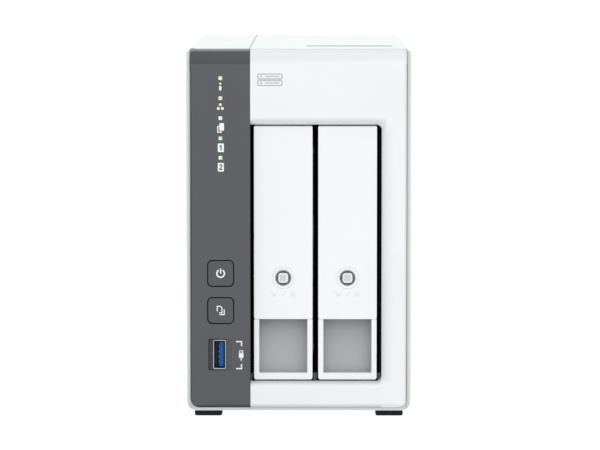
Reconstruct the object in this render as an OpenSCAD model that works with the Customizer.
// Two-bay network attached storage: white two-part casing, grey control strip, two lever-handled
// drive trays, mainboard on the left, backplane and fan behind the bays.
// Millimetres. +X right, +Y to the rear, +Z up. Origin at the centre of the footprint, on the table.

/* [Casing] */
// Width of the casing
case_w = 102; // [101.5:0.1:103]
// Depth of the casing, front face to rear edge
case_d = 219; // [218:1:226]
// Height of the casing above its feet
case_h = 164.4; // [164:0.2:166]
// Height of the rubber feet
foot_h = 3; // [2:0.5:6]
// Wall thickness of the two shells
wall = 2.2; // [2:0.1:2.3]
// Radius of the casing's lower long edges
low_corner = 5; // [4:0.5:6]
// Radius of the casing's upper long edges
high_corner = 3; // [2.6:0.2:4]

/* [Front] */
// Width of the grey control strip
strip_w = 26.5; // [26.2:0.1:26.8]
// Thickness of the front mouldings
plate_t = 2.4; // [2.2:0.1:2.6]
// Width of the tray opening
opening_w = 59.2; // [59:0.1:59.5]
// Height of the tray opening
opening_h = 116; // [115.8:0.1:116.3]
// Height of the opening's sill above the table
sill_z = 16.9; // [16.7:0.1:17.1]
// Radius of the rounded edge around the tray opening
opening_round = 3.5; // [2.5:0.5:4]
// Radius of the tray opening's two right corners
opening_corner = 2.4; // [2:0.2:2.6]
// Side of each square button
button_w = 11.4; // [10.8:0.1:12]
// How far a button travels
button_travel = 0.6; // [0.3:0.1:0.6]
// Side of each square status light
light_w = 1.6; // [1.5:0.1:2]

/* [Trays] */
// Width of a tray's face
tray_w = 26.5; // [26:0.1:26.6]
// Distance between the centre lines of the two trays
tray_pitch = 29.1; // [29:0.1:29.3]
// How far the tray faces sit behind the bezel's face
tray_inset = 2.5; // [2.3:0.1:2.6]
// Height of the lever handle
handle_h = 87.8; // [84:0.2:88]
// Width of the finger recess
recess_w = 21.8; // [20:0.2:22]
// Radius of the key lock's barrel
lock_r = 3.65; // [3.4:0.05:3.8]

/* [Drives] */
// Thickness of a drive
drive_t = 26.1; // [25.4:0.1:26.1]
// Length of a drive
drive_l = 147; // [145:0.5:147]
// Width of a drive, upright in its tray
drive_h = 101.6; // [101:0.1:101.8]

/* [Fan and boards] */
// Side of the square fan frame
fan_w = 70; // [68:1:71]
// Thickness of a circuit board
board_t = 1.6; // [1.2:0.2:1.6]

/* [Hidden] */
$fn = 48;

// Casing planes
front = -case_d / 2;
rear = case_d / 2;
side = case_w / 2;
base_z = foot_h;
top_z = foot_h + case_h;
shell_front = front + 1.2;
slip = 0.3;            // gap between mouldings that don't touch
hair = 0.1;            // gap of a closed seam

// Front mouldings
front_x = [2.6 - side, side - 2.15];
rebate_x = [front_x[0] - 0.75, front_x[1] + 2 * hair];
seam_x = front_x[0] + strip_w - 0.2;
plate_back = front + plate_t;
rim_back = front + 6;
front_low = base_z + 1.7;
front_high = top_z - 0.4;
strip_edge = front_x[0] + strip_w;
opening_x = [strip_edge, strip_edge + opening_w];
opening_z = [sill_z, sill_z + opening_h];
facet_z = front_high - 6.5;

// Feet
foot_x = 41.2;
foot_y = [front + 14, rear - 16];
foot_w = 12.5;

// Control strip features, on one vertical line
control_x = strip_edge - 13.4;
light_z = [154.1, 145.1, 136.1, 127, 118.2];
button_z = [65.8, 48.9];
usb_x = control_x - 0.55;
usb_z = 28.9;
usb_w = [6, 13.4];
post_z = [160, 83.4];
front_board_y = [front + 9.9, front + 9.9 + board_t];
front_usb_y = [front + 0.3, front + 17.5];
switch_h = 4.4;        // front board to the tip of a switch's plunger

// Trays
tray_face = front + tray_inset;
tray_z = [opening_z[0] + slip, opening_z[1] - slip];
tray_mid_x = (opening_x[0] + opening_x[1]) / 2 - 0.15;
handle_t = 2.4;
handle_z = [tray_z[1] - handle_h, tray_z[1]];
handle_back = tray_face + handle_t;
hinge_y = tray_face + 5;
hinge_z = tray_z[1] - 3.2;
pin_r = 1.2;
wall_y = [tray_face + 8, tray_face + 9.8];
pocket_y = [tray_face + 9.4, tray_face + 10.6];
pocket_top = handle_z[0] + 8.8;
lock_z = handle_z[0] + 18.75;
drive_front = tray_face + 14.5;
drive_low = (tray_z[0] + tray_z[1]) / 2 - drive_h / 2;
keel_w = 7.4;
retainer_y = [drive_front + 28, drive_front + 102];
retainer_mid = drive_front + 65;

// Drives
drive_left = 12.45;    // from a tray's centre line to its drive's board side
plug_z = [33.4, 67.4];
plug_y = drive_front + drive_l;

// Cage around the trays
cage_x = [opening_x[0] - 1, opening_x[1] + 0.6];
cage_z = [tray_z[0] - 3.1, tray_z[1] + 4.3];
cage_y = [rim_back + 0.2, drive_front + drive_l + 4];
sheet = 1.5;
backplane_y = [cage_y[1] + 0.3, cage_y[1] + 0.3 + board_t];

// Mainboard, upright on the left
main_x = [9.5 - side, 9.5 - side + board_t];
main_y = [front + 9.5, rear - 5.5];
main_z = [base_z + 16.5, top_z - 17];
chip_x = main_x[1];
main_posts = [[-70, 26], [-70, 142], [70, 38], [70, 142]];
processor_at = [5, 78];
coin_at = [-20, 124];

// Rear
panel_y = [rear - 3.1, rear - 0.6];
panel_side = side - wall - 0.4;
panel_z = [base_z + wall + 0.4, top_z - wall - 0.4];
corner_x = side - 7;
corner_z = [base_z + 9, top_z - 9];
fan_x = tray_mid_x + 2;
fan_z = 88;
fan_y = [panel_y[0] - 25.5, panel_y[0] - 0.5];
fan_hole = fan_w * 3 / 7;
fan_bore = fan_w / 2 - 1.6;
grille_r = fan_w / 2 - 3;
fan_hub_r = fan_w * 0.21;
fan_bearing_r = 3;
lead_r = 1.1;
lead_from = [fan_x - fan_w / 2 - 0.05, fan_y[0] + 3, 62];
lead_to = [chip_x + 6, 62, 92.95];
jack_x = [chip_x, chip_x + 13.5];
jack_z = [60, 76];
rear_usb_z = [92, 112];
rear_usb_x = chip_x + 3.9;
rear_usb_y = [rear - 16.5, rear - 0.3];
power_x = chip_x + 5.5;
power_z = 40;
jack_mouth_y = rear - 0.5;
reset_at = [chip_x + 5.5, 130];
lock_slot = [38, 22];

// ---- Building blocks ----

// Box between two corners, given as a range on each axis
module block(x, y, z) {
  translate([x[0], y[0], z[0]]) cube([x[1] - x[0], y[1] - y[0], z[1] - z[0]]);
}

// Profile in Y and Z, drawn out along X
module along_x(x) {
  translate([x[0], 0, 0]) rotate([90, 0, 90]) linear_extrude(x[1] - x[0]) children();
}

// Profile in X and Z, drawn out along Y
module along_y(y) {
  translate([0, y[1], 0]) rotate([90, 0, 0]) linear_extrude(y[1] - y[0]) children();
}

// Profile in X and Y, drawn out along Z
module along_z(z) {
  translate([0, 0, z[0]]) linear_extrude(z[1] - z[0]) children();
}

module rod_x(x, y, z, r) {
  along_x(x) translate([y, z]) circle(r);
}

module rod_y(y, x, z, r) {
  along_y(y) translate([x, z]) circle(r);
}

module rod_z(z, x, y, r) {
  along_z(z) translate([x, y]) circle(r);
}

// Rectangle between two corners with rounded corners
module rounded(u, v, r) {
  translate([u[0] + r, v[0]]) square([u[1] - u[0] - 2 * r, v[1] - v[0]]);
  translate([u[0], v[0] + r]) square([u[1] - u[0], v[1] - v[0] - 2 * r]);
  for (cu = [u[0] + r, u[1] - r], cv = [v[0] + r, v[1] - r]) translate([cu, cv]) circle(r);
}

// Rounded rectangle about a centre
module pad(u, v, w, h, r) {
  rounded([u - w / 2, u + w / 2], [v - h / 2, v + h / 2], r);
}

// Range of a given width about a centre
function about(mid, w) = [mid - w / 2, mid + w / 2];

function tray_x(n) = tray_mid_x + (n - 1.5) * tray_pitch;

// ---- Casing ----

// Outline of the casing seen from the front, drawn in by inset
module casing_section(inset) {
  half = side - inset;
  low = low_corner - inset;
  high = high_corner - inset;
  z = [base_z + inset, top_z - inset];
  mid = (z[0] + z[1]) / 2;
  translate([low - half, z[0]]) square([2 * (half - low), mid - z[0]]);
  translate([high - half, mid]) square([2 * (half - high), z[1] - mid]);
  translate([-half, z[0] + low]) square([2 * half, z[1] - z[0] - low - high]);
  for (s = [-1, 1]) {
    translate([s * (half - low), z[0] + low]) circle(low);
    translate([s * (half - high), z[1] - high]) circle(high);
  }
}

// Opening in the front of the shells that takes the bezel and the strip
module front_rebate() {
  along_y([front - 1, rim_back + hair]) {
    rounded(rebate_x, [front_low - hair, base_z + 80], 4.2);
    translate([rebate_x[0], base_z + 40]) square([rebate_x[1] - rebate_x[0], case_h]);
  }
}

module shell_tube() {
  edge = 2.2;
  difference() {
    intersection() {
      along_y([shell_front, rear]) casing_section(0);
      along_z([0, top_z + 1]) rounded([-side, side], [shell_front, rear], edge);
      along_x([-side, side]) rounded([shell_front, rear], [base_z, top_z], edge);
    }
    along_y([front - 1, rear + 1]) casing_section(wall);
    front_rebate();
  }
}

// Corner blocks that take the rear panel's screws
module screw_corners(x) {
  for (z = corner_z) {
    difference() {
      block(x, [panel_y[0] - 12, panel_y[0] - hair], about(z, 14));
      rod_y([panel_y[0] - 11, rear], x[0] < 0 ? -corner_x : corner_x, z, 1.45);
    }
  }
}

// Upright slots that let air through a side wall
module side_vents(x, y_first, count) {
  for (i = [0:count - 1]) along_x(x) translate([y_first + i * 5.6, 0]) rounded([0, 2.6], [22, 50], 1.2);
}

module foot_pockets(s) {
  w = foot_w + slip;
  for (y = foot_y) along_z([base_z - 1, base_z + 0.6]) pad(s * foot_x, y, w, w, 1.65);
}

// Ledge at the bottom of the groove between the casing and the control strip
module groove_ledge() {
  along_y([front + 2.4, rim_back]) intersection() {
    difference() {
      casing_section(1);
      rounded([front_x[0] - slip, side], [front_low - slip, top_z + 5], 4.3);
    }
    translate([-side, base_z]) square([9, facet_z - 2 - base_z]);
  }
}

module left_shell() {
  color("whitesmoke") difference() {
    union() {
      intersection() {
        shell_tube();
        block([-side - 1, seam_x - hair / 2], [front - 1, rear + 1], [0, top_z + 1]);
      }
      intersection() {
        along_y([front, rear]) casing_section(wall / 2);
        union() {
          screw_corners([-side, -corner_x + 4]);
          for (p = main_posts) rod_x([-side + 1, main_x[0]], p[0], p[1], 3.2);
        }
      }
      groove_ledge();
    }
    for (p = main_posts) rod_x([main_x[0] - 6, main_x[0] + 1], p[0], p[1], 1.3);
    side_vents([-side - 1, -side + wall + 1], 8, 9);
    foot_pockets(-1);
  }
}

module right_shell() {
  recess = [[3.2, 43.3], [front + 33.5, front + 43.5]];
  color("whitesmoke") difference() {
    union() {
      intersection() {
        shell_tube();
        block([seam_x + hair / 2, side + 1], [front - 1, rear + 1], [0, top_z + 1]);
      }
      intersection() {
        along_y([front, rear]) casing_section(wall / 2);
        screw_corners([corner_x - 4, side]);
      }
    }
    along_z([top_z - 0.9, top_z + 1]) rounded(recess[0], recess[1], 1);
    side_vents([side - wall - 1, side + 1], -20, 14);
    for (i = [0:8]) along_z([0, base_z + wall + 1]) translate([0, i * 8 - 40]) rounded([-8, 24], [0, 2.6], 1.2);
    foot_pockets(1);
  }
}

// Solid front moulding before it is hollowed: chamfered foot, face that leans back at the top,
// and a short tab on the left that closes the groove beside the shell
module front_blank(x) {
  intersection() {
    along_x(x) polygon([
      [rim_back, front_low], [front + 1.2, front_low], [front, front_low + 1.6], [front, facet_z],
      [front + 1.5, front_high - 1.1], [front + 2, front_high - 0.4], [front + 2.9, front_high],
      [rim_back, front_high]
    ]);
    along_y([front - 1, rim_back]) {
      rounded(front_x, [front_low, top_z / 2 + 10], 4);
      rounded(front_x, [top_z / 2, front_high], 1.6);
      translate([rebate_x[0] + hair, facet_z - 1.6]) square([2, 5.7]);
    }
  }
}

// Space behind the face of the front mouldings
module front_hollow() {
  block(
    [front_x[0] + plate_t, front_x[1] - plate_t],
    [plate_back, rim_back + 1],
    [front_low + plate_t, front_high - plate_t]
  );
}

// Corner of material that a rounded edge takes away, outward along U and inward along V
module edge_round(r) {
  difference() {
    translate([0, -1]) square([r, r + 1]);
    translate([r, r]) circle(r);
  }
}

// Tray opening, with its face edge rounded at the top, the right and the sill
module tray_opening() {
  corner_x = opening_x[1] - opening_corner;
  corner_z = [opening_z[0] + opening_corner, opening_z[1] - opening_corner];
  along_z(corner_z) {
    translate([opening_x[0] - 1, front - 1]) square([opening_w + 1, 20]);
    translate([opening_x[1], front]) edge_round(opening_round);
  }
  along_x([opening_x[0] - 1, corner_x]) {
    translate([front - 1, opening_z[0]]) square([20, opening_h]);
    translate([front, opening_z[1]]) mirror([1, -1]) edge_round(opening_round);
    translate([front, opening_z[0]]) rotate(-90) edge_round(opening_round);
  }
  for (z = corner_z) translate([corner_x, front, z]) rotate([-90, 0, 0]) rotate_extrude() {
    translate([0, -1]) square([opening_corner, 20]);
    translate([opening_corner, 0]) edge_round(opening_round);
  }
}

module front_bezel() {
  tab_x = [front_x[1] - plate_t, front_x[1] - 0.4];
  color("white") {
    difference() {
      front_blank([strip_edge + hair / 2, front_x[1]]);
      front_hollow();
      tray_opening();
      along_z([0, facet_z]) translate([front_x[1], front]) mirror([1, 0]) edge_round(1.3);
    }
    for (z = [30, 88, 140]) block(tab_x, [rim_back - 1, rim_back + 7], about(z, 9));
    for (x = [-8, 30]) block(about(x, 9), [rim_back - 1, rim_back + 7], [front_high - 4.2, front_high - 2.2]);
  }
}

// Shallow recess around the USB socket, deepest at its left
module usb_recess() {
  intersection() {
    along_y([front - 1, front + 1]) rounded([control_x - 5.7, control_x + 5.1], about(usb_z, 14.6), 0.8);
    along_z([usb_z - 10, usb_z + 10]) translate([control_x, front]) polygon([
      [-6, -1], [6, -1], [6, 0.15], [-6, 0.9]
    ]);
  }
}

module control_strip() {
  edge = strip_edge - hair / 2;
  hole_w = button_w + 1;
  color("dimgray") difference() {
    union() {
      difference() {
        front_blank([rebate_x[0], edge]);
        front_hollow();
      }
      block([edge - 1.8, edge], [plate_back - 1, rim_back], [front_low + 2, front_high - 2]);
      for (z = post_z) rod_y([plate_back - 0.5, front_board_y[0] - hair], control_x, z, 2.6);
    }
    for (z = post_z) rod_y([plate_back + 1, front_board_y[0]], control_x, z, 1.1);
    for (z = light_z) along_y([front - 1, plate_back + 1]) pad(control_x, z, light_w + 0.2, light_w + 0.2, 0.3);
    for (z = button_z) along_y([front - 1, plate_back + 1]) pad(control_x, z, hole_w, hole_w, 2.5);
    usb_recess();
    along_y([front - 1, plate_back + 1]) pad(usb_x, usb_z, usb_w[0] + 0.5, usb_w[1] + 0.5, 1.3);
  }
}

// Push button: square cap, retaining flange and stem towards its switch
module push_button(z) {
  color("dimgray") {
    along_y([front + 0.1, plate_back + 0.4]) pad(control_x, z, button_w, button_w, 2);
    along_y([plate_back + slip, plate_back + 1.2]) pad(control_x, z, button_w + 2.6, button_w + 2.6, 3);
    rod_y([plate_back + 1, front_board_y[0] - switch_h - button_travel - slip], control_x, z, 2.2);
  }
}

module power_button() {
  push_button(button_z[0]);
}

module copy_button() {
  push_button(button_z[1]);
}

// Square rubber feet, each with a slightly smaller tread
module rubber_feet() {
  color("black") for (x = [-foot_x, foot_x], y = foot_y) {
    along_z([0.3, foot_h + 0.5]) pad(x, y, foot_w, foot_w, 1.5);
    along_z([0, 0.4]) pad(x, y, foot_w - 0.4, foot_w - 0.4, 1.3);
  }
}

// Pan-head screw along Y: the head's outer face is at y, the shank runs to the front
module screw_y(x, z, y, head_r, shank_r, length) {
  difference() {
    rod_y([y - 1.4, y], x, z, head_r);
    along_y([y - 0.8, y + 1]) {
      translate([x - head_r * 0.6, z - 0.3]) square([head_r * 1.2, 0.6]);
      translate([x - 0.3, z - head_r * 0.6]) square([0.6, head_r * 1.2]);
    }
  }
  rod_y([y - length, y - 1.3], x, z, shank_r);
}

module case_screws() {
  color("dimgray") for (x = [-corner_x, corner_x], z = corner_z) screw_y(x, z, panel_y[1] + 0.1, 2.9, 1.4, 11);
}

// ---- Rear panel and fan ----

// Ring of arc slots around the fan's axis
module fan_grille() {
  spoke = 2.4;
  along_y([panel_y[0] - 1, panel_y[1] + 1]) translate([fan_x, fan_z]) difference() {
    for (r = [grille_r:-5:9]) difference() {
      circle(r);
      circle(r - 3);
    }
    for (a = [0:45:135]) rotate(a) square([2 * fan_w, spoke], center = true);
  }
}

module rear_panel() {
  color("whitesmoke") difference() {
    along_y(panel_y) rounded([-panel_side, panel_side], panel_z, 2.6);
    fan_grille();
    for (x = [-corner_x, corner_x], z = corner_z) {
      rod_y([panel_y[0] - 1, panel_y[1] + 1], x, z, 1.6);
      rod_y([panel_y[1] - 1.4, panel_y[1] + 1], x, z, 3.2);
    }
    for (x = [-1, 1], z = [-1, 1]) {
      rod_y([panel_y[0] - 1, panel_y[1] + 1], fan_x + x * fan_hole, fan_z + z * fan_hole, 2.2);
      rod_y([panel_y[1] - 1.4, panel_y[1] + 1], fan_x + x * fan_hole, fan_z + z * fan_hole, 3.6);
    }
    block([jack_x[0] - 0.3, jack_x[1] + 0.3], [panel_y[0] - 1, rear], [jack_z[0] - 0.3, jack_z[1] + 0.3]);
    for (z = rear_usb_z) {
      along_y([panel_y[0] - 1, rear]) pad(rear_usb_x, z, usb_w[0] + 0.6, usb_w[1] + 0.6, 1.3);
    }
    rod_y([panel_y[0] - 1, rear], power_x, power_z, 4.6);
    rod_y([panel_y[0] - 1, rear], reset_at[0], reset_at[1], 1.7);
    along_y([panel_y[0] - 1, rear]) pad(lock_slot[0], lock_slot[1], 7, 3, 0.8);
  }
}

// Fan frame: square duct, four struts and the bearing that carries the rotor's shaft
module fan_frame() {
  color("black") difference() {
    union() {
      difference() {
        along_y(fan_y) pad(fan_x, fan_z, fan_w, fan_w, 4);
        rod_y([fan_y[0] - 1, fan_y[1] + 1], fan_x, fan_z, fan_bore);
      }
      intersection() {
        rod_y([fan_y[1] - 3, fan_y[1]], fan_x, fan_z, fan_bore + 1);
        along_y(fan_y) translate([fan_x, fan_z]) {
          for (a = [45, 135]) rotate(a) square([fan_w * 1.3, 5], center = true);
        }
      }
      rod_y([fan_y[1] - 3, fan_y[1]], fan_x, fan_z, fan_hub_r);
      rod_y([fan_y[1] - 12, fan_y[1] - 2], fan_x, fan_z, fan_bearing_r + 1.5);
    }
    rod_y([fan_y[1] - 13, fan_y[1] - 1], fan_x, fan_z, 1.55);
    for (x = [-1, 1], z = [-1, 1]) {
      rod_y([fan_y[0] - 1, fan_y[1] + 1], fan_x + x * fan_hole, fan_z + z * fan_hole, 2.1);
    }
  }
}

// Seven-bladed rotor turning about Y
module fan_rotor() {
  hub_y = [fan_y[0] + 1, fan_y[1] - 3.5];
  color("black") {
    difference() {
      rod_y(hub_y, fan_x, fan_z, fan_hub_r);
      rod_y([hub_y[0] + 1.6, hub_y[1] + 1], fan_x, fan_z, fan_hub_r - 1.6);
    }
    rod_y([hub_y[0] + 1, fan_y[1] - 1.3], fan_x, fan_z, 1.5);
    intersection() {
      difference() {
        rod_y([fan_y[0] + 2, fan_y[1] - 5], fan_x, fan_z, fan_bore - 1);
        rod_y([fan_y[0] + 1, fan_y[1] - 4], fan_x, fan_z, fan_hub_r - 0.6);
      }
      translate([fan_x, (hub_y[0] + hub_y[1]) / 2 - 1, fan_z]) for (i = [0:6]) {
        rotate([0, i * 360 / 7, 0]) rotate([0, 0, 38]) translate([-0.7, -14, 0]) cube([1.4, 28, fan_w]);
      }
    }
  }
}

module fan_screws() {
  color("silver") for (x = [-1, 1], z = [-1, 1]) {
    screw_y(fan_x + x * fan_hole, fan_z + z * fan_hole, panel_y[1] + 0.1, 3.3, 1.95, 10);
  }
}

// Point on a cubic curve through four control points
function curve(p, t) =
  pow(1 - t, 3) * p[0] + 3 * pow(1 - t, 2) * t * p[1] + 3 * (1 - t) * t * t * p[2] + pow(t, 3) * p[3];

function unit(v) = v / norm(v);

// Round tube along a list of points
module tube(path, r, sides) {
  last = len(path) - 1;
  rings = [for (i = [0:last])
    let (dir = unit(path[min(i + 1, last)] - path[max(i - 1, 0)]))
    let (u = unit(cross(dir, [1, 0, 0.2])), v = cross(dir, u))
    for (k = [0:sides - 1]) path[i] + r * (cos(k * 360 / sides) * u + sin(k * 360 / sides) * v)];
  walls = [for (i = [0:last - 1], k = [0:sides - 1])
    let (a = i * sides + k, b = i * sides + (k + 1) % sides)
    each [[a, b, b + sides], [a, b + sides, a + sides]]];
  caps = [[for (k = [sides - 1:-1:0]) k], [for (k = [0:sides - 1]) last * sides + k]];
  polyhedron(rings, concat(walls, caps));
}

// Sleeved lead: leaves the frame and enters the plug squarely, with one sweep between
module fan_lead() {
  a = lead_from - [1.5, 0, 0];
  b = lead_to - [0, 0, 1.5];
  bend = [a, a - [4, 0, 0], [b[0], b[1], 76], b];
  color("black") tube(concat([lead_from], [for (i = [0:14]) curve(bend, i / 14)], [lead_to]), lead_r, 8);
}

module fan_plug() {
  color("ivory") block([chip_x, chip_x + 8], about(lead_to[1], 8), [lead_to[2] + 0.05, lead_to[2] + 6.05]);
}

// ---- Front board ----

module front_board() {
  color("darkgreen") difference() {
    block([chip_x + 0.5, strip_edge - 3.5], front_board_y, [38.5, front_high - 4]);
    for (z = post_z) rod_y([front_board_y[0] - 1, front_board_y[1] + 1], control_x, z, 1.2);
  }
}

// Square push switch with a round plunger, on the front board
module push_switch(z) {
  y = front_board_y[0];
  color("dimgray") {
    along_y([y - 3.5, y]) pad(control_x, z, 6, 6, 0.5);
    rod_y([y - switch_h, y - 3.4], control_x, z, 1.7);
  }
}

module power_switch() {
  push_switch(button_z[0]);
}

module copy_switch() {
  push_switch(button_z[1]);
}

// Five clear rods on one spine, carrying light from the LEDs to the face
module light_pipes() {
  spine_y = [front + 4, front + 5.6];
  color("honeydew") {
    for (z = light_z) {
      along_y([front + 0.3, front + 8.4]) pad(control_x, z, light_w, light_w, 0.2);
    }
    block(about(control_x, light_w), spine_y, [light_z[4], light_z[0]]);
  }
}

module status_leds() {
  y = front_board_y[0];
  color("lightgreen") for (z = light_z) block(about(control_x, 1.6), [y - 0.7, y], about(z, 2.4));
}

// USB socket's metal shell, open to the given side of Y
module usb_shell(x, z, y, mouth_rear) {
  t = 0.45;
  inner = mouth_rear ? [y[0] + 0.8, y[1] + 1] : [y[0] - 1, y[1] - 0.8];
  difference() {
    along_y(y) pad(x, z, usb_w[0], usb_w[1], 0.9);
    along_y(inner) pad(x, z, usb_w[0] - 2 * t, usb_w[1] - 2 * t, 0.5);
  }
}

module front_usb_shell() {
  color("silver") usb_shell(usb_x, usb_z, front_usb_y, false);
}

module front_usb_tongue() {
  y = [front + 1.6, front_usb_y[1] - 0.9];
  color("royalblue") block([usb_x - 0.1, usb_x + 1.9], y, about(usb_z, 11.2));
}

module rear_usb_shells() {
  color("silver") for (z = rear_usb_z) usb_shell(rear_usb_x, z, rear_usb_y, true);
}

module rear_usb_tongues() {
  color("black") for (z = rear_usb_z) {
    block([rear_usb_x - 0.1, rear_usb_x + 1.9], [rear_usb_y[0] + 0.9, rear - 1.6], about(z, 11.2));
  }
}

// ---- Mainboard ----

module mainboard() {
  color("darkgreen") difference() {
    block(main_x, main_y, main_z);
    for (p = main_posts) rod_x([main_x[0] - 1, main_x[1] + 1], p[0], p[1], 1.6);
  }
}

// Box lying on the mainboard, by its centre and its size along Y and Z
module on_board(y, z, w, h, t) {
  block([chip_x, chip_x + t], about(y, w), about(z, h));
}

module processor() {
  color("black") on_board(processor_at[0], processor_at[1], 15, 15, 1.6);
}

module heat_sink() {
  x = chip_x + 1.7;
  color("silver") {
    block([x, x + 2.4], about(processor_at[0], 34), about(processor_at[1], 34));
    for (i = [-4:4]) block([x + 2.3, x + 11], about(processor_at[0] + i * 4, 1.2), about(processor_at[1], 34));
  }
}

module memory_chips() {
  color("black") for (y = [-52, -36], z = [68, 88]) on_board(y, z, 9, 13, 1.1);
}

module capacitors() {
  color("silver") for (z = [44, 54, 124, 134]) rod_x([chip_x, chip_x + 8.5], 46, z, 3.15);
}

module coin_cell_holder() {
  color("black") difference() {
    rod_x([chip_x, chip_x + 4.4], coin_at[0], coin_at[1], 11.6);
    rod_x([chip_x + 1, chip_x + 5], coin_at[0], coin_at[1], 10.2);
    block([chip_x + 1, chip_x + 5], [coin_at[0], coin_at[0] + 12], about(coin_at[1], 8));
  }
}

module coin_cell() {
  color("silver") rod_x([chip_x + 1.1, chip_x + 4.3], coin_at[0], coin_at[1], 10);
}

module buzzer() {
  color("black") difference() {
    rod_x([chip_x, chip_x + 7], -60, 40, 4.75);
    rod_x([chip_x + 5, chip_x + 8], -60, 40, 0.9);
  }
}

// Eight-way jack: open mouth at the rear with the latch notch on its inner side
module network_jack() {
  mid = (jack_z[0] + jack_z[1]) / 2;
  y = [rear - 21.3, rear - 0.3];
  color("silver") difference() {
    block(jack_x, y, jack_z);
    block([jack_x[0] + 1.6, jack_x[0] + 8.6], [y[1] - 14, rear], about(mid, 11.8));
    block([jack_x[0] + 8, jack_x[0] + 10.6], [y[1] - 10, rear], about(mid, 6.2));
  }
}

module power_jack() {
  color("black") difference() {
    union() {
      block([chip_x, chip_x + 11], [rear - 16, panel_y[0] - 0.3], about(power_z, 10));
      rod_y([rear - 15, jack_mouth_y], power_x, power_z, 4.3);
    }
    rod_y([jack_mouth_y - 10, rear], power_x, power_z, 3.1);
  }
}

module power_jack_pin() {
  color("gold") rod_y([jack_mouth_y - 10, jack_mouth_y - 1], power_x, power_z, 1.25);
}

module reset_button() {
  color("dimgray") {
    rod_y([rear - 6, rear - 0.9], reset_at[0], reset_at[1], 1.4);
    rod_y([panel_y[0] - 1.6, panel_y[0] - slip], reset_at[0], reset_at[1], 2.6);
  }
}

// Screw along X with its head on the mainboard's outer side
module screw_x(y, z) {
  difference() {
    rod_x([chip_x, chip_x + 1.8], y, z, 2.8);
    along_x([chip_x + 1, chip_x + 2]) {
      translate([y - 1.7, z - 0.3]) square([3.4, 0.6]);
      translate([y - 0.3, z - 1.7]) square([0.6, 3.4]);
    }
  }
  rod_x([main_x[0] - 5, chip_x + 0.1], y, z, 1.2);
}

module board_screws() {
  color("silver") {
    for (p = main_posts) screw_x(p[0], p[1]);
    for (z = post_z) screw_y(control_x, z, front_board_y[1] + 1.4, 2.2, 1, 7);
  }
}

// ---- Drive cage and backplane ----

// Channel ribs that guide a tray's keel
module guide_ribs(n, z) {
  y = [pocket_y[1] + 0.5, cage_y[1] - 12];
  for (s = [-1, 1]) block(about(tray_x(n) + s * (keel_w / 2 + 0.95), 1.2), y, z);
}

module drive_cage() {
  inner_x = [cage_x[0] + sheet, cage_x[1] - sheet];
  inner_z = [cage_z[0] + sheet, cage_z[1] - sheet];
  color("dimgray") {
    difference() {
      block(cage_x, cage_y, cage_z);
      block(inner_x, [cage_y[0] - 1, cage_y[1] + 1], inner_z);
      for (i = [0:7], z = [34, 84]) {
        along_x([cage_x[0] - 1, cage_x[1] + 1]) translate([i * 17 - 72, z]) rounded([0, 4], [0, 34], 1.9);
      }
    }
    for (n = [1, 2]) {
      guide_ribs(n, [inner_z[0] - 0.1, tray_z[0] + 1.8]);
      guide_ribs(n, [tray_z[1] - 1.9, inner_z[1] + 0.1]);
    }
    for (x = [cage_x[0] + 4, cage_x[1] - 8], y = [cage_y[0] + 16, cage_y[1] - 16]) {
      block(about(x, 7), about(y, 10), [base_z + wall + 0.1, cage_z[0] + 0.1]);
    }
  }
}

module backplane() {
  color("darkgreen") difference() {
    block([cage_x[0], cage_x[1]], backplane_y, [cage_z[0], cage_z[1]]);
    for (n = [1, 2]) {
      along_y([backplane_y[0] - 1, backplane_y[1] + 1]) {
        pad(tray_x(n) + 1.5, 102, 14, 44, 3);
        pad(tray_x(n) + 5, 46, 8, 40, 3);
      }
    }
  }
}

// Where a drive's connector lies, across its thickness
function plug_x(n) = tray_x(n) - drive_left + 3;

// Socket that takes a drive's two contact tongues
module drive_socket(n) {
  color("black") difference() {
    block(about(plug_x(n), 6), [plug_y + 0.6, backplane_y[0]], [plug_z[0] - 1.5, plug_z[1] + 1.5]);
    block(about(plug_x(n), 1.9), [plug_y, plug_y + 3.6], [plug_z[0] + 0.7, plug_z[1] - 0.7]);
  }
}

// ---- Trays ----

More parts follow.
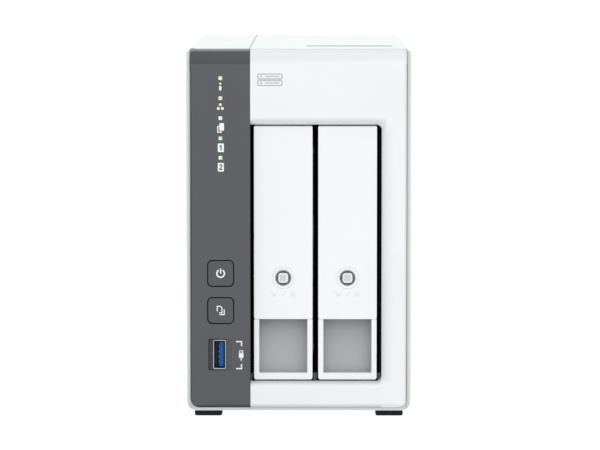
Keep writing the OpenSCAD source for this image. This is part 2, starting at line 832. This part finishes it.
// Carrier: rails above and below the drive, a plate on one side and a wall behind the handle
module tray_carrier(n) {
  c = tray_x(n);
  half = tray_w / 2 - 0.8;
  y = [wall_y[1] - 1, drive_front + drive_l - 9];
  rail_low = [tray_z[0] + 2.2, drive_low - 0.3];
  rail_high = [drive_low + drive_h + 0.3, tray_z[1] - 2.4];
  color("dimgray") difference() {
    union() {
      block([c - 13.75, c + half], [pocket_y[1] + 0.1, y[1]], rail_low);
      block(about(c, keel_w), [pocket_y[1] + 0.1, y[1]], [tray_z[0] + 0.1, rail_low[0] + 0.1]);
      block([c - 13.75, c + half], y, rail_high);
      block(about(c, keel_w), y, [rail_high[1] - 0.1, tray_z[1] - 0.1]);
      block([c - 13.75, c - drive_left - 0.1], [pocket_y[1] + 0.1, y[1]], [rail_low[0], rail_high[1]]);
      block([c - 11.2, c + 11.2], wall_y, [pocket_top + 0.3, rail_high[1]]);
      for (s = [-1, 1]) {
        rod_x(about(c + s * 10.2, 1.8), hinge_y, hinge_z, 2.3);
        block(about(c + s * 10.2, 1.8), [hinge_y, wall_y[0] + 0.1], about(hinge_z, 4.6));
      }
    }
    rod_x([c - 15, c + 15], hinge_y, hinge_z, pin_r + 0.03);
    along_y([wall_y[0] - 1, wall_y[1] + 1]) pad(c, lock_z, 9.6, 7.6, 1);
    for (i = [0:4]) along_y([wall_y[0] - 1, wall_y[1] + 1]) pad(c, 74 + i * 9, 15, 3.4, 1.5);
    for (i = [0:3], z = [32, 82]) {
      along_x([c - 15, c - drive_left]) translate([i * 34 - 84, z]) rounded([0, 18], [0, 34], 3);
    }
    for (y = retainer_y) {
      rod_z([tray_z[0] + 2, drive_low], c + 7, y, 1.9);
      rod_z([drive_low + drive_h, tray_z[1] - 2], c + 7, y, 1.9);
    }
    block([c + 5, c + half + 1], about(retainer_mid, 86), [rail_low[0] - 1, rail_low[0] + 1.4]);
    block([c + 5, c + half + 1], about(retainer_mid, 86), [rail_high[1] - 1.4, rail_high[1] + 1]);
  }
}

// Strips with pegs that hold the drive through the rails, above and below
module tray_retainers(n) {
  c = tray_x(n);
  low = tray_z[0] + 2.3;
  high = tray_z[1] - 2.5;
  color("black") {
    for (z = [[low, low + 1.2], [high - 1.2, high]]) {
      block([c + 5.2, c + tray_w / 2 - 0.8], about(retainer_mid, 85), z);
    }
    for (y = retainer_y) {
      rod_z([low + 1, drive_low + 2.4], c + 7, y, 1.55);
      rod_z([drive_low + drive_h - 2.4, high - 1], c + 7, y, 1.55);
    }
  }
}

// Fixed lower front with the open finger recess
module tray_front(n) {
  c = tray_x(n);
  x = about(c, tray_w);
  pocket_x = about(c, recess_w);
  pocket_z = [tray_z[0] + 3, pocket_top - 1.4];
  color("white") difference() {
    union() {
      along_y([tray_face, pocket_y[1]]) {
        rounded(x, [tray_z[0], handle_z[0] - 1], 1);
        translate([x[0], handle_z[0] - 6]) square([tray_w, 6 - hair]);
      }
      block([x[0] + 2, x[1] - 2], [handle_back + 0.4, pocket_y[1]], [handle_z[0] - 1, pocket_top]);
    }
    block(pocket_x, [tray_face - 1, pocket_y[0]], [pocket_z[0], handle_z[0] + 1]);
    block([pocket_x[0] + 1, pocket_x[1] - 1], [handle_back + 0.3, pocket_y[0]], [pocket_z[0], pocket_z[1]]);
  }
}

// Lever handle: face plate, side flanges that carry the hinge, and the lock's bore
module tray_handle(n) {
  c = tray_x(n);
  flange_z = [handle_z[0] + 1.5, handle_z[1] - 3.2];
  color("white") difference() {
    union() {
      intersection() {
        along_x(about(c, tray_w)) {
          translate([tray_face, handle_z[0]]) square([handle_t, handle_h - 1]);
          translate([tray_face + 1, handle_z[0]]) square([handle_t - 1, handle_h]);
          translate([tray_face + 1, handle_z[1] - 1]) circle(1);
        }
        along_y([tray_face - 1, handle_back + 1]) rounded(about(c, tray_w), handle_z, 0.8);
      }
      for (s = [-1, 1]) {
        along_x(about(c + s * 12.3, 1.4)) {
          polygon([
            [handle_back - 0.1, flange_z[0] + 10], [handle_back + 3, flange_z[0] + 16],
            [hinge_y + 2.3, hinge_z], [handle_back - 0.1, hinge_z + 2]
          ]);
          translate([hinge_y, hinge_z]) circle(2.4);
        }
      }
      rod_y([handle_back - 0.1, handle_back + 3], c, lock_z, lock_r + 1.3);
      block(about(c, recess_w - 2), [handle_back - 0.1, handle_back + 1.6], about(handle_z[0] + 10, 1.2));
    }
    rod_x([c - 15, c + 15], hinge_y, hinge_z, pin_r + 0.08);
    rod_y([tray_face - 1, handle_back + 4], c, lock_z, lock_r + 0.1);
  }
}

module tray_hinge_pin(n) {
  color("silver") rod_x(about(tray_x(n), 25.4), hinge_y, hinge_z, pin_r);
}

// Key lock: barrel with a square key socket, and a cam that turns behind the carrier's wall
module tray_lock(n) {
  c = tray_x(n);
  color("lightgray") difference() {
    union() {
      rod_y([tray_face + 0.1, handle_back + 3.4], c, lock_z, lock_r);
      rod_y([handle_back + 3.3, wall_y[1] + 0.4], c, lock_z, 2.6);
      along_y([wall_y[1] + 0.3, wall_y[1] + 1.7]) pad(c, lock_z, 8.2, 5.4, 1.2);
      rod_y([handle_back + 3.2, handle_back + 3.9], c, lock_z, lock_r + 0.35);
    }
    along_y([tray_face - 1, tray_face + 1.2]) difference() {
      translate([c, lock_z]) circle(lock_r - 1);
      pad(c, lock_z, 3.7, 3.7, 0.8);
    }
  }
}

// ---- Drives ----

module drive_casting(n) {
  x = [tray_x(n) - drive_left, tray_x(n) - drive_left + drive_t];
  y = [drive_front, plug_y];
  z = [drive_low, drive_low + drive_h];
  color("gray") difference() {
    along_x([x[0], x[1] - 1.3]) rounded(y, z, 2.5);
    block([x[0] - 1, x[0] + 2.4], [y[0] + 46, y[1] - 4], [z[0] + 4, z[1] - 4]);
    block([x[0] - 1, x[0] + 6.2], [y[1] - 7, y[1] + 1], [plug_z[0] - 2, plug_z[1] + 2]);
    rod_x([x[0] - 1, x[0] + 1.4], y[0] + 26, (z[0] + z[1]) / 2 + 16, 17);
    for (py = retainer_y) {
      rod_z([z[0] - 1, z[0] + 4], tray_x(n) + 7, py, 1.65);
      rod_z([z[1] - 4, z[1] + 1], tray_x(n) + 7, py, 1.65);
    }
  }
}

// Pressed top cover with a round raised field
module drive_cover(n) {
  x = tray_x(n) - drive_left + drive_t - 1.2;
  mid_z = drive_low + drive_h / 2;
  color("silver") difference() {
    along_x([x, x + 1.2]) rounded([drive_front + 1.5, plug_y - 1.5], about(mid_z, drive_h - 3), 5);
    along_x([x + 0.7, x + 2]) difference() {
      rounded([drive_front + 8, plug_y - 8], about(mid_z, drive_h - 16), 8);
      translate([drive_front + 56, mid_z]) circle(36);
    }
  }
}

module drive_board(n) {
  x = tray_x(n) - drive_left + 1;
  color("darkgreen") {
    block([x, x + 1.2], [drive_front + 48, plug_y - 7.6], [drive_low + 6, drive_low + drive_h - 6]);
    block([x + 1.1, x + 1.35], [drive_front + 70, drive_front + 84], [drive_low + 50, drive_low + 64]);
  }
}

// Drive connector: housing and one contact tongue that enters the socket
module drive_connector(n) {
  color("black") {
    block(about(plug_x(n), 5.6), [plug_y - 6.8, plug_y], plug_z);
    block(about(plug_x(n), 1.3), [plug_y - 0.1, plug_y + 3.3], [plug_z[0] + 1, plug_z[1] - 1]);
  }
}

left_shell();
right_shell();
front_bezel();
control_strip();
rear_panel();
rubber_feet();
case_screws();
power_button();
copy_button();
front_board();
power_switch();
copy_switch();
light_pipes();
status_leds();
front_usb_shell();
front_usb_tongue();
mainboard();
processor();
heat_sink();
memory_chips();
capacitors();
coin_cell();
coin_cell_holder();
network_jack();
rear_usb_shells();
rear_usb_tongues();
power_jack();
power_jack_pin();
reset_button();
buzzer();
board_screws();
drive_cage();
backplane();
drive_socket(1);  // drive_socket_1
drive_socket(2);  // drive_socket_2
fan_frame();
fan_rotor();
fan_screws();
fan_lead();
fan_plug();
tray_carrier(1);  // tray_1_carrier
tray_front(1);  // tray_1_front
tray_handle(1);  // tray_1_handle
tray_hinge_pin(1);  // tray_1_hinge_pin
tray_lock(1);  // tray_1_lock
tray_retainers(1);  // tray_1_retainers
drive_casting(1);  // drive_1_casting
drive_cover(1);  // drive_1_cover
drive_board(1);  // drive_1_board
drive_connector(1);  // drive_1_connector
tray_carrier(2);  // tray_2_carrier
tray_front(2);  // tray_2_front
tray_handle(2);  // tray_2_handle
tray_hinge_pin(2);  // tray_2_hinge_pin
tray_lock(2);  // tray_2_lock
tray_retainers(2);  // tray_2_retainers
drive_casting(2);  // drive_2_casting
drive_cover(2);  // drive_2_cover
drive_board(2);  // drive_2_board
drive_connector(2);  // drive_2_connector
